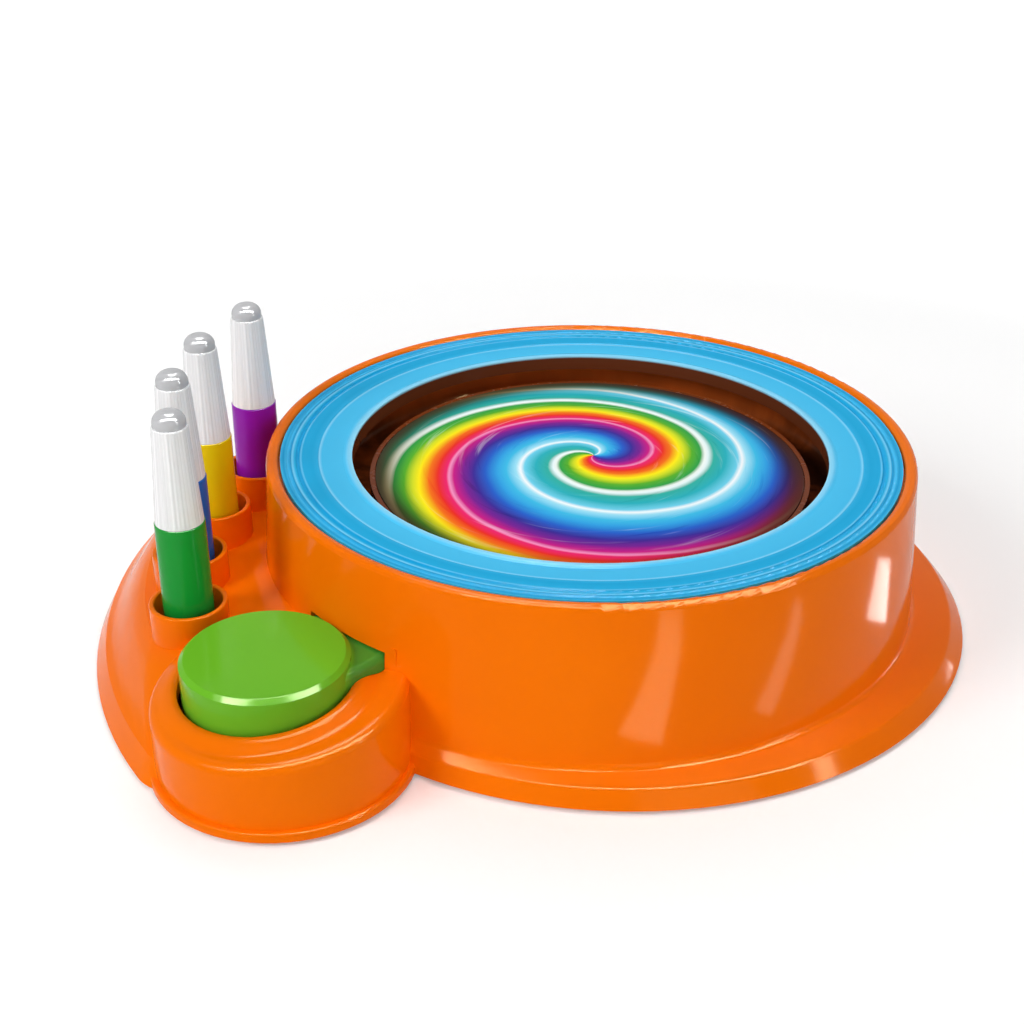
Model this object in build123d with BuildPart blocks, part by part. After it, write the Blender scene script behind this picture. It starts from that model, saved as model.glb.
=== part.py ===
# Spin art machine: a moulded drum with a spinning card platter, a press paddle that winds it
# through a toothed sector, rack and gears, and four felt pens in sockets on a side wing.
# Millimetres, +Z up. The origin lies on the ground under the platter's axis.
import os
from math import atan2, cos, degrees, pi, radians, sin, sqrt, tan

from build123d import *

os.makedirs("parts", exist_ok=True)

# ---- shared clearances -------------------------------------------------------------------
running_gap = 0.05       # radial, pin or shaft in its bore
seat_gap = 0.05          # between faces that stand on each other
loose_gap = 0.3          # between pieces that move past each other
seat_play = 0.5          # round a piece that lifts out by hand

# ---- base and drum -----------------------------------------------------------------------
foot_height = 1.2
plate_thickness = 2.0
wall = 2.2               # moulded wall of the housing
plate_inset = wall + 0.5 # edge of the plate's recess, in from the outside
plate_gap = 0.2          # round the edge of the base plate

ring_radius = 96.0       # the splash ring, which the drum is built round
ring_edge_gap = 0.6
rim_width = 3.7
drum_draw = 3.2          # how far the drum leans in on its way up
drum_foot_height = 9.6
drum_foot_round = 2.0
drum_height = 58.2
rim_round = 1.6
flange_width = 9.5
flange_offset = (8.0, 1.5)
flange_edge_height = 6.7
flange_edge_draw = 2.6   # how far the edge band leans in
flange_edge_round = 1.4
flange_fold_share = 0.75 # how much of the offset is left at the fold
ledge_width = 10.6
ledge_drop = 3.0         # from the rim down to the ledge
well_depth = 17.2
collar_rise = 4.0        # spindle collar above the well's floor
well_corner = 6.0
well_draw = 2.0          # how far the well wall leans out on its way up

# ---- wing and pod ------------------------------------------------------------------------
wing_reach = 60.1        # how far the wing stands out past the drum's foot
wing_offset = (8.2, -5.2)
wing_back = 66.0
wing_overlap = 43.5      # how far the wing runs on inside the drum
wing_front_azimuth = 224.0
wing_top_azimuths = [224.0, 220.0, 215.0, 212.0]
wing_climb = [(0.0, 0.0), (0.33, 0.30), (0.72, 0.82), (1.0, 1.0)]
wing_corner = 16.0
wing_edge_height = 8.0
wing_edge_draw = 3.5
wing_low_top = 22.6      # top of the wing under the outer sockets
wing_high_top = 27.4     # top of the wing where it meets the drum
wing_slope_run = 16.0    # width of the slope outside the sockets

drive_azimuth = 225.0    # direction of the pod and the paddle, seen from the drum
pod_standoff = 20.2      # from the drum's foot to the pod's middle
pod_side = -0.5
pod_radius = 35.8
pod_ledge = 1.7
pod_ledge_height = 2.7
pod_front_height = 22.9
pod_rise = 0.10          # slope of the pod's top towards the drum
pod_round = 2.6
pod_dish = 1.2           # how deep the roof dips between the lip and the edge
pod_ledge_round = 0.8
lip_profile = [(-0.4, -0.2), (1.6, 1.0), (3.9, 0.35), (6.5, -0.8), (9.5, -0.45), (14.0, 0.3), (22.0, 0.7)]

# ---- pen sockets -------------------------------------------------------------------------
socket_radius = 11.3
socket_wall = 1.5
socket_rim = 34.6
socket_rim_rise = 1.1    # each socket stands this much higher than the one before it
socket_rim_round = 0.5
socket_depth = 14.0
pen_arc_centre = (-16.0, -27.0)
pen_arc_standoff = 2.3   # the arc's radius, beyond that of the drum's foot
pen_first_angle = 196.6
pen_pitch_angle = 15.3
pen_colours = ["green", "blue", "yellow", "purple"]

# ---- felt pens ---------------------------------------------------------------------------
cap_radius = 7.4
cap_wall = 1.1
cap_floor = 2.1
cap_length = 40.0
cap_draw = 0.25
cap_chamfer = 0.8
cap_mouth_round = 0.4
barrel_end_round = 0.5
nib_round = 0.4
reservoir_round = 0.3
barrel_radius = 6.9
barrel_end_radius = 5.1
barrel_wall = 1.1
barrel_length = 29.2
neck_length = 10.0
nib_radius = 1.9
nose_length = 6.0
plug_dome = 4.4
plug_round = 3.4
plug_shoulder = 0.4
plug_depth = 4.0
reservoir_gap = 0.2

# ---- splash ring, platter and card -------------------------------------------------------
ring_width = 22.0
ring_thickness = 2.0
ring_drop = 1.6
ring_lip = 1.4
ring_skirt = 4.6
ring_grooves = [2.4, 5.4]  # in from the ring's edge
ring_step = 11.4
platter_clearance = 5.2  # inside the ring's bore
platter_thickness = 2.0
platter_lip = 0.9
platter_ribs = 8
platter_rib_height = 3.0
platter_rib_width = 1.6
card_inset = 1.8         # in from the platter's edge
card_thickness = 1.0
card_drop = 6.2          # below the ledge

# ---- press paddle ------------------------------------------------------------------------
pad_shift = (1.7, -3.5)  # from the pod's middle to the pad's
pad_radius = 23.4
pad_rise = 5.2           # above the hinge
pad_skin = 2.4
pad_skirt = 16.5
pad_wall = 2.0
pad_bevel = 1.3
pad_bevel_round = 0.35
recess_gap = 1.2
hinge_wall_gap = 0.26    # hinge barrel to the inside of the drum wall
hinge_height = 29.9
hinge_side = 1.1
hinge_width = 31.2
hinge_barrel = 2.7
hinge_pin_radius = 1.5
hinge_ear = 4.0
ear_back = 1.2           # plastic behind the pin's hole in an ear
neck_step = 2.7          # neck top below the pad's top
neck_round = 2.2
neck_corner = 5.0        # where the hole of the pad runs into that of the neck
neck_clearance = 14.0    # how far the neck's underside is cut back past the pad's edge
catch_reach = 3.0
catch_width = 8.0

# ---- gear train --------------------------------------------------------------------------
module = 1.0
pressure_angle = 25.0
addendum = 0.8
dedendum = 1.1
backlash = 0.2
rack_pitch_height = 7.9  # where the sector's teeth meet the rack's
sector_width = 6.0
rack_width = 8.0
pinion_teeth = 9
wheel_teeth = 56
driver_teeth = 12
wheel_thickness = 4.0
wheel_height = 10.5
axle_radius = 1.5
spindle_radius = 2.5
bush_wall = 1.5

# ---- freewheel and flywheel --------------------------------------------------------------
race_radius = 13.0
race_wall = 2.2
roller_radius = 1.8
roller_count = 3
roller_length = 5.0
cam_gap = 0.6
flywheel_radius = 38.0
flywheel_thickness = 3.0

# ---- return spring -----------------------------------------------------------------------
spring_radius = 6.0
spring_wire = 0.6
spring_turns = 6
spring_standoff = 6.6    # beyond the pad's middle

# ---- derived places ----------------------------------------------------------------------
ledge_height = drum_height - ledge_drop
well_floor = ledge_height - well_depth
card_top = ledge_height - card_drop
ring_bore = ring_radius - ring_width
platter_radius = ring_bore - platter_clearance
card_radius = platter_radius - card_inset
pad_top = hinge_height + pad_rise
sector_radius = hinge_height - rack_pitch_height
ledge_radius = ring_radius + ring_edge_gap
drum_top_radius = ledge_radius + rim_width
drum_foot_radius = drum_top_radius + drum_draw
flange_radius = drum_foot_radius + flange_width
well_top_radius = ledge_radius - ledge_width
well_radius = well_top_radius - well_draw
wing_radius = drum_foot_radius + wing_reach
wing_inner = drum_foot_radius - wing_overlap
pen_arc_radius = drum_foot_radius + pen_arc_standoff
pod_reach = drum_foot_radius + pod_standoff
pad_reach = pod_reach + pad_shift[0]
pad_side = pod_side + pad_shift[1]
spring_reach = pad_reach + spring_standoff
plate_bottom = foot_height
plate_top = plate_bottom + plate_thickness
drive_plane = Plane(origin=(0, 0, 0), x_dir=(cos(radians(drive_azimuth)), sin(radians(drive_azimuth)), 0),
                    z_dir=(0, 0, 1))
tangent = drive_plane.y_dir


def in_drive(reach, side, height=0.0):
    return drive_plane.from_local_coords((reach, side, height))


def drum_radius_at(height):
    rise = (height - drum_foot_height) / (drum_height - drum_foot_height)
    return drum_foot_radius - drum_draw * rise


hinge_reach = drum_radius_at(hinge_height) - wall - hinge_barrel - hinge_wall_gap


def swing_plane(reach, height, side=0.0):
    """Upright plane along the drive: local x points away from the drum, local y points up."""
    return Plane(origin=in_drive(reach, side, height), x_dir=drive_plane.x_dir, z_dir=-tangent)


pen_places = []
for pen_index in range(len(pen_colours)):
    pen_angle = radians(pen_first_angle - pen_pitch_angle * pen_index)
    pen_places.append((pen_arc_centre[0] + pen_arc_radius * cos(pen_angle),
                       pen_arc_centre[1] + pen_arc_radius * sin(pen_angle)))

# ---- teeth -------------------------------------------------------------------------------
tooth_pitch = pi * module
base_share = cos(radians(pressure_angle))


def involute(radius, base_radius):
    roll = sqrt(max((radius / base_radius) ** 2 - 1, 0))
    return roll - atan2(roll, 1)


def tooth_outline(teeth):
    """One tooth about local +x, from just inside the root circle to the tip."""
    pitch_radius = module * teeth / 2
    base_radius = pitch_radius * base_share
    root_radius = pitch_radius - dedendum * module
    tip_radius = pitch_radius + addendum * module
    half_angle = (tooth_pitch - backlash) / 4 / pitch_radius + involute(pitch_radius, base_radius)
    start_radius = max(base_radius, root_radius)
    flank = [(root_radius - 0.3, half_angle - involute(start_radius, base_radius))]
    for step in range(4):
        radius = start_radius + (tip_radius - start_radius) * step / 3
        flank.append((radius, half_angle - involute(radius, base_radius)))
    lower = [(radius * cos(angle), -radius * sin(angle)) for radius, angle in flank]
    upper = [(x, -y) for x, y in reversed(lower)]
    return lower + upper


def rack_tooth():
    """One rack tooth pointing along local +y, with its pitch line on y = 0."""
    lean = tan(radians(pressure_angle))
    half_pitch_width = (tooth_pitch - backlash) / 4
    tip = half_pitch_width - addendum * module * lean
    root = half_pitch_width + (dedendum * module + 0.2) * lean
    return [(-root, -dedendum * module - 0.2), (root, -dedendum * module - 0.2),
            (tip, addendum * module), (-tip, addendum * module)]


# ---- levels of the gear train ------------------------------------------------------------
rack_bottom = plate_top + 0.1
rack_back = rack_pitch_height - dedendum * module
pinion_radius = module * pinion_teeth / 2
wheel_radius = module * wheel_teeth / 2
driver_radius = module * driver_teeth / 2
axle_side = rack_width / 2 + pinion_radius
gear_centres = wheel_radius + driver_radius
axle_reach = sqrt(gear_centres ** 2 - axle_side ** 2)
wheel_top = wheel_height + wheel_thickness
boss_top = 9.0
washer_thickness = 0.7
driver_bottom = boss_top + washer_thickness + 2 * seat_gap
driver_top = wheel_top + 0.5
cam_bottom = driver_top + 0.6
cam_floor = cam_bottom + 1.0
cam_top = cam_floor + roller_length + 0.7
race_bottom = cam_bottom + 0.3
web_bottom = cam_top + loose_gap
web_top = web_bottom + 2.2
race_outer = race_radius + race_wall
hub_radius = 6.0
flywheel_bottom = web_top + seat_gap
flywheel_top = flywheel_bottom + flywheel_thickness
clip_thickness = 0.6
hub_top = flywheel_top + clip_thickness + 0.6
bush_radius = spindle_radius + bush_wall
bush_flange = 0.8
upper_bush_bottom = hub_top + 0.4
collar_bottom = upper_bush_bottom + bush_flange + seat_gap
collar_radius = 7.5
collar_top = well_floor + collar_rise
platter_top = card_top - card_thickness - seat_gap
platter_bottom = platter_top - platter_thickness
spindle_top = platter_bottom
floor_underside = well_floor - wall


def wing_section(plane, inset, front_azimuth):
    """Sector of the wing: outer arc, back edge, and a radial front edge."""
    front = tan(radians(front_azimuth))
    reach = 2 * wing_radius
    with BuildSketch(plane) as section:
        with Locations(wing_offset):
            Circle(wing_radius - inset)
        with BuildLine():
            Polyline((-wing_inner, wing_back - inset), (-reach, wing_back - inset),
                     (-reach, -reach * front), (-wing_inner, -wing_inner * front), close=True)
        make_face(mode=Mode.INTERSECT)
        outer = section.vertices().filter_by(lambda v: v.X < -1.5 * wing_inner)
        fillet(outer, wing_corner)
    return section.sketch


# ---- forms of the housing, made once for the outside and once, set in by the wall, inside --
def flange_form(inset):
    fold_centre = (flange_offset[0] * flange_fold_share, flange_offset[1] * flange_fold_share)
    with BuildPart() as form:
        with BuildSketch(Plane.XY.offset(plate_bottom)):
            with Locations(flange_offset):
                Circle(flange_radius - inset)
        with BuildSketch(Plane.XY.offset(flange_edge_height - inset)):
            with Locations(fold_centre):
                Circle(flange_radius - flange_edge_draw - inset)
        loft()
        with BuildSketch(Plane.XY.offset(flange_edge_height - inset)):
            with Locations(fold_centre):
                Circle(flange_radius - flange_edge_draw - inset)
        with BuildSketch(Plane.XY.offset(drum_foot_height - inset)):
            Circle(drum_foot_radius - inset)
        loft()
        if inset == 0:
            fold = (flange_edge_height - seat_gap, flange_edge_height + seat_gap)
            fillet(form.edges().filter_by_position(Axis.Z, *fold), flange_edge_round)
    return form.part


def wing_form(inset):
    slope = (wing_high_top - wing_low_top) / (wing_radius - wing_slope_run - drum_foot_radius)
    low_reach = wing_offset[0] - wing_radius + wing_slope_run
    edge = wing_edge_height - inset
    rise = wing_low_top - wing_edge_height
    band = [wing_section(Plane.XY.offset(plate_bottom), inset, wing_front_azimuth),
            wing_section(Plane.XY.offset(edge), wing_edge_draw + inset, wing_front_azimuth)]
    hill = []
    for (run, climb), front_azimuth in zip(wing_climb, wing_top_azimuths):
        tilt = slope * climb
        section_plane = Plane(origin=(0, 0, edge + rise * climb - low_reach * tilt),
                              x_dir=(1, 0, tilt), z_dir=(-tilt, 0, 1))
        draw = wing_edge_draw + (wing_slope_run - wing_edge_draw) * run
        hill.append(wing_section(section_plane, draw + inset, front_azimuth))
    with BuildPart() as form:
        loft(band)
        loft(hill)
    return form.part


def pod_roof_at(reach):
    return pod_front_height + (pod_reach + pod_radius - reach) * pod_rise


def pod_blank(radius):
    with BuildPart() as blank:
        with BuildSketch(drive_plane.offset(plate_bottom)):
            with Locations((pod_reach, pod_side)):
                Circle(radius)
        extrude(amount=drum_height)
    return blank.part


def pod_shell():
    """The pod's outside: a rolled lip round the pad, a shallow dish and a round edge."""
    lean = drive_plane.x_dir * pod_rise + Vector(0, 0, 1)
    roof = Plane(origin=in_drive(pad_reach, pad_side, pod_roof_at(pad_reach)), x_dir=tangent, z_dir=lean)
    section = Plane(origin=roof.origin, x_dir=tangent, z_dir=tangent.cross(lean))
    rolled = [(pad_hole + out, rise) for out, rise in lip_profile]
    reach = rolled[-1][0]
    with BuildPart() as form:
        with BuildSketch(section):
            with BuildLine():
                Polyline(rolled[0], (0, rolled[0][1]), (0, -drum_height),
                         (reach, -drum_height), (reach, rolled[-1][1]))
                Spline(*rolled)
            make_face()
        revolve(axis=Axis(roof.origin, roof.z_dir))
        add(pod_blank(pod_radius), mode=Mode.INTERSECT)
        upper_edges = form.edges().filter_by(lambda e: e.center().Z > pod_front_height / 2)
        fillet(upper_edges.sort_by(SortBy.LENGTH)[-1], pod_round)
        with BuildSketch(drive_plane.offset(plate_bottom)):
            with Locations((pod_reach, pod_side)):
                Circle(pod_radius + pod_ledge)
        extrude(amount=pod_ledge_height)
        fillet(form.edges().filter_by_position(Axis.Z, pod_ledge_height, 2 * pod_ledge_height)
               .sort_by(SortBy.LENGTH)[-1], pod_ledge_round)
    return form.part


def pod_hollow():
    with BuildPart() as form:
        add(pod_blank(pod_radius - wall))
        split(bisect_by=Plane(origin=in_drive(pad_reach, pad_side, pod_roof_at(pad_reach) - wall - pod_dish),
                              x_dir=tangent, z_dir=drive_plane.x_dir * pod_rise + Vector(0, 0, 1)),
              keep=Keep.BOTTOM)
        fillet(form.faces().sort_by(Axis.Z)[-1].edges(), pod_round)
    return form.part


pad_hole = pad_radius + recess_gap
flange_outside, flange_inside = flange_form(0), flange_form(wall)
wing_outside, wing_inside = wing_form(0), wing_form(wall)
pod_outside, pod_inside = pod_shell(), pod_hollow()



def footprint(inset):
    """Outline of the whole base at its foot, set in by inset."""
    wing_outline = wing_section(Plane.XY, inset, wing_front_azimuth)
    with BuildSketch() as outline:
        with Locations(flange_offset):
            Circle(flange_radius - inset)
        add(wing_outline)
        with Locations(in_drive(pod_reach, pod_side)):
            Circle(pod_radius + pod_ledge - inset)
    return outline.sketch


def wing_top_at(x):
    slope = (wing_high_top - wing_low_top) / (wing_radius - wing_slope_run - drum_foot_radius)
    return wing_low_top + (x - (wing_offset[0] - wing_radius + wing_slope_run)) * slope


# ---- screw places: x, y and how high the boss reaches --------------------------------------
ledge_underside = ledge_height - wall
pillar_radius = 3.5
pilot_radius = 1.3
screw_length = 10.0
pod_screws = [(17.0, 25.5), (6.5, -30.5)]
wing_screw_out = 18.5    # past the drum's foot
wing_screw_in = 23.0     # in from the wing's back edge
pillar_count = 6
pillar_azimuth = 15.0
pillar_sink = 0.4        # how far a screw pillar stands into the well's wall
pillar_ring = well_top_radius + wall + pillar_radius - pillar_sink
screw_places = []
for pillar_index in range(pillar_count):
    pillar_angle = radians(pillar_azimuth + 360 * pillar_index / pillar_count)
    screw_places.append((pillar_ring * cos(pillar_angle), pillar_ring * sin(pillar_angle),
                         ledge_underside + wall / 2))
for screw_reach, screw_side in pod_screws:
    place = in_drive(pod_reach + screw_reach, pod_side + screw_side)
    screw_places.append((place.X, place.Y, pod_roof_at(pod_reach + screw_reach) - pod_dish - wall / 2))
wing_screw = (-drum_foot_radius - wing_screw_out, wing_back - wing_screw_in)
screw_places.append((*wing_screw, wing_top_at(wing_screw[0]) - wall / 2))

# ---- upper housing -------------------------------------------------------------------------
socket_floor = socket_rim - socket_depth
window_top = hinge_height + hinge_barrel + 0.7
window_reach = hinge_reach - hinge_barrel - 2.0
ear_sides = [hinge_side + side * (hinge_width / 2 + loose_gap + hinge_ear / 2) for side in (-1, 1)]
hinge_pin_length = hinge_width + 2 * (loose_gap + hinge_ear)
plate_recess = footprint(plate_inset)


with BuildPart() as housing:
    add(flange_outside)
    # drum, with its rolled rim, the ledge for the splash ring and the paint well
    with BuildSketch(Plane.XZ) as drum_profile:
        with BuildLine():
            Polyline((0, plate_bottom), (drum_foot_radius, plate_bottom),
                     (drum_foot_radius, drum_foot_height), (drum_top_radius, drum_height),
                     (ledge_radius, drum_height), (ledge_radius, ledge_height),
                     (0, ledge_height), close=True)
        make_face()
        rim_corners = drum_profile.vertices().filter_by_position(Axis.Y, drum_height - 1, drum_height + 1)
        fillet(rim_corners, rim_round)
    revolve(axis=Axis.Z)
    foot_edges = housing.edges().filter_by(GeomType.CIRCLE).filter_by_position(
        Axis.Z, drum_foot_height - seat_gap, drum_foot_height + seat_gap)
    fillet(foot_edges, drum_foot_round)
    add(wing_outside)
    add(pod_outside)
    with BuildSketch(Plane.XZ) as well_profile:
        with BuildLine():
            Polyline((0, ledge_height), (well_top_radius, ledge_height),
                     (well_radius, well_floor), (0, well_floor), close=True)
        make_face()
        fillet(well_profile.vertices().group_by(Axis.Y)[0].sort_by(Axis.X)[-1], well_corner)
    revolve(axis=Axis.Z, mode=Mode.SUBTRACT)
    # hollow inside
    add(flange_inside, mode=Mode.SUBTRACT)
    add(wing_inside, mode=Mode.SUBTRACT)
    add(pod_inside, mode=Mode.SUBTRACT)
    with BuildSketch(Plane.XZ) as hollow_profile:
        with BuildLine():
            Polyline((0, plate_bottom), (drum_foot_radius - wall, plate_bottom),
                     (drum_foot_radius - wall, drum_foot_height),
                     (drum_radius_at(ledge_underside) - wall, ledge_underside),
                     (well_top_radius + wall, ledge_underside),
                     (well_radius + wall, floor_underside), (0, floor_underside), close=True)
        make_face()
        fillet(hollow_profile.vertices().group_by(Axis.Y)[-2].sort_by(Axis.X)[-1], well_corner + wall)
    revolve(axis=Axis.Z, mode=Mode.SUBTRACT)
    with BuildSketch(Plane.XY.offset(plate_bottom)):
        add(plate_recess)
    extrude(amount=plate_thickness + seat_gap, mode=Mode.SUBTRACT)
    # collar round the spindle, with the seat of the upper bush below
    with BuildSketch(Plane.XZ):
        with BuildLine():
            Polyline((0, collar_bottom), (collar_radius, collar_bottom), (collar_radius, well_floor),
                     (collar_radius - 1, collar_top), (0, collar_top), close=True)
        make_face()
    revolve(axis=Axis.Z)
    with BuildSketch(Plane.XY.offset(collar_bottom)):
        Circle(bush_radius + seat_gap)
    extrude(amount=well_floor - collar_bottom, mode=Mode.SUBTRACT)
    with BuildSketch(Plane.XY.offset(collar_bottom)):
        Circle(spindle_radius + loose_gap)
    extrude(amount=collar_top - collar_bottom, mode=Mode.SUBTRACT)
    # screw bosses with their pilot holes
    for boss_x, boss_y, boss_end in screw_places:
        with BuildSketch(Plane.XY.offset(plate_top + seat_gap)):
            with Locations((boss_x, boss_y)):
                Circle(pillar_radius)
        extrude(amount=boss_end - plate_top - seat_gap)
    for boss_x, boss_y, boss_end in screw_places:
        with BuildSketch(Plane.XY.offset(plate_top)):
            with Locations((boss_x, boss_y)):
                Circle(pilot_radius)
        extrude(amount=screw_length, mode=Mode.SUBTRACT)
    # ears for the hinge pin, behind the drum wall
    with BuildSketch(drive_plane.offset(hinge_height - hinge_barrel - 1)):
        with Locations(*[(hinge_reach - hinge_barrel - ear_back, side) for side in ear_sides]):
            Rectangle(ear_back + 2 * hinge_barrel + hinge_wall_gap + seat_gap, hinge_ear,
                      align=(Align.MIN, Align.CENTER))
    extrude(amount=2 * hinge_barrel + 4)
    # pen sockets
    for pen_index, pen_place in enumerate(pen_places):
        with BuildPart(mode=Mode.PRIVATE) as socket:
            with BuildSketch(Plane.XY.offset(socket_floor - wall)):
                with Locations(pen_place):
                    Circle(socket_radius)
            extrude(amount=socket_depth + wall + socket_rim_rise * pen_index)
            with BuildSketch(Plane.XY.offset(socket_floor)):
                with Locations(pen_place):
                    Circle(socket_radius - socket_wall)
            extrude(amount=drum_height, mode=Mode.SUBTRACT)
            fillet(socket.edges().group_by(Axis.Z)[-1], socket_rim_round)
        add(socket.part)
    with BuildSketch(Plane.XY.offset(socket_floor)):
        with Locations(*pen_places):
            Circle(socket_radius - socket_wall)
    extrude(amount=drum_height, mode=Mode.SUBTRACT)
    # hole for the pad and its neck, through the pod's roof and the drum wall
    with BuildSketch(drive_plane.offset(plate_top + 1)) as hole:
        with Locations((pad_reach, pad_side)):
            Circle(pad_hole)
        with Locations((window_reach, hinge_side)):
            Rectangle(pad_reach - window_reach, hinge_width + 2 * loose_gap, align=(Align.MIN, Align.CENTER))
        run_in = hole.vertices().filter_by(lambda v: abs(v.X - window_reach) > pad_radius / 8)
        fillet(run_in, neck_corner)
    extrude(amount=window_top - plate_top - 1, mode=Mode.SUBTRACT)
    with BuildSketch(swing_plane(hinge_reach, hinge_height, hinge_side)):
        Circle(hinge_pin_radius + running_gap)
    extrude(amount=hinge_pin_length / 2, both=True, mode=Mode.SUBTRACT)
housing.part.label = "upper_housing"
export_step(housing.part, "parts/upper_housing.step")

# ---- base plate ----------------------------------------------------------------------------
plate_outline = footprint(plate_inset + plate_gap)
screw_head_radius = 3.0
spigot_radius = spring_radius - spring_wire - 0.5
axle_boss_top = rack_bottom + 1.0
rail_thickness = 1.6
rail_height = 4.6
rail_length = 30.0
rail_side = rack_width / 2 + loose_gap / 2 + rail_thickness / 2
outer_rail_reach = hinge_reach + 1.0
inner_rail_reach = axle_reach + 5.0
spigot_height = 2.5
keeper_reach = 70.0
keeper_length = 9.0
keeper_screw_side = 8.0
keeper_margin = 3.5      # beyond each screw
keeper_corner = 1.5
keeper_thickness = 2.5
keeper_top = rack_back + seat_gap + keeper_thickness
bridge_foot_side = wheel_radius + 6.0
bridge_screw_side = bridge_foot_side + 7.5
mechanism_screws_at = [(keeper_reach, -keeper_screw_side), (keeper_reach, keeper_screw_side),
                       (axle_reach, axle_side - bridge_screw_side),
                       (axle_reach, axle_side + bridge_screw_side)]
blind_floor = plate_bottom + 0.5

with BuildPart() as base_plate:
    with BuildSketch(Plane.XY.offset(plate_bottom)):
        add(plate_outline)
    extrude(amount=plate_thickness)
    with BuildSketch(Plane.XY.offset(plate_top)):
        Circle(bush_radius + 2)
    extrude(amount=boss_top - plate_top)
    with BuildSketch(drive_plane.offset(plate_top)):
        with Locations((axle_reach, axle_side)):
            Circle(axle_radius + 1.4)
    extrude(amount=axle_boss_top - plate_top)
    # rails that guide the rack, and the spigot of the return spring
    with BuildSketch(drive_plane.offset(plate_top)):
        with Locations((outer_rail_reach, rail_side), (outer_rail_reach, -rail_side),
                       (inner_rail_reach, -rail_side)):
            Rectangle(rail_length, rail_thickness)
    extrude(amount=rail_height)
    with BuildSketch(drive_plane.offset(plate_top)):
        with Locations((spring_reach, pad_side)):
            Circle(spigot_radius)
    extrude(amount=spigot_height)
    # bores
    with BuildSketch(Plane.XY.offset(plate_top)):
        Circle(bush_radius + seat_gap)
    extrude(amount=boss_top - plate_top, mode=Mode.SUBTRACT)
    with BuildSketch(drive_plane.offset(blind_floor)):
        with Locations((axle_reach, axle_side)):
            Circle(axle_radius + running_gap)
    extrude(amount=axle_boss_top, mode=Mode.SUBTRACT)
    with BuildSketch(drive_plane.offset(blind_floor)):
        with Locations(*mechanism_screws_at):
            Circle(pilot_radius)
    extrude(amount=plate_thickness, mode=Mode.SUBTRACT)
    with Locations(*[(x, y, plate_bottom) for x, y, boss_end in screw_places]):
        with Locations(Rotation(180, 0, 0)):
            CounterSinkHole(radius=pilot_radius + loose_gap, counter_sink_radius=screw_head_radius + 0.1,
                            depth=plate_thickness)
base_plate.part.label = "base_plate"
export_step(base_plate.part, "parts/base_plate.step")

# ---- screws that hold the base plate --------------------------------------------------------
with BuildPart() as screw_form:
    with BuildSketch(Plane.XZ):
        with BuildLine():
            Polyline((0, 0.1), (screw_head_radius - 0.2, 0.1), (1.2, 0.1 + screw_head_radius - 1.4),
                     (1.2, screw_length), (0.4, screw_length + 1), (0, screw_length + 1), close=True)
        make_face()
    revolve(axis=Axis.Z)
with BuildPart() as base_screws:
    with Locations(*[(x, y, plate_bottom) for x, y, boss_end in screw_places]):
        add(screw_form.part)
base_screws.part.label = "base_screws"
export_step(base_screws.part, "parts/base_screws.step")

# ---- rubber feet -----------------------------------------------------------------------------
foot_radius = 7.0
centre_foot_radius = 12.0
foot_ring = drum_foot_radius - 6.5
foot_azimuths = [45, 105, 285, 345]
wing_feet_out = [34.5, 30.5]  # past the drum's foot
wing_feet_in = [84.0, 22.0]   # in from the wing's back edge
pod_foot = in_drive(pod_reach + 20.0, pod_side + 8.5)
with BuildPart() as rubber_feet:
    with BuildSketch():
        Circle(centre_foot_radius)
        with Locations(*[(foot_ring * cos(radians(a)), foot_ring * sin(radians(a))) for a in foot_azimuths]):
            Circle(foot_radius)
        with Locations(*[(-drum_foot_radius - feet_out, wing_back - feet_in)
                         for feet_out, feet_in in zip(wing_feet_out, wing_feet_in)], pod_foot):
            Circle(foot_radius)
    extrude(amount=foot_height)
rubber_feet.part.label = "rubber_feet"
export_step(rubber_feet.part, "parts/rubber_feet.step")

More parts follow.
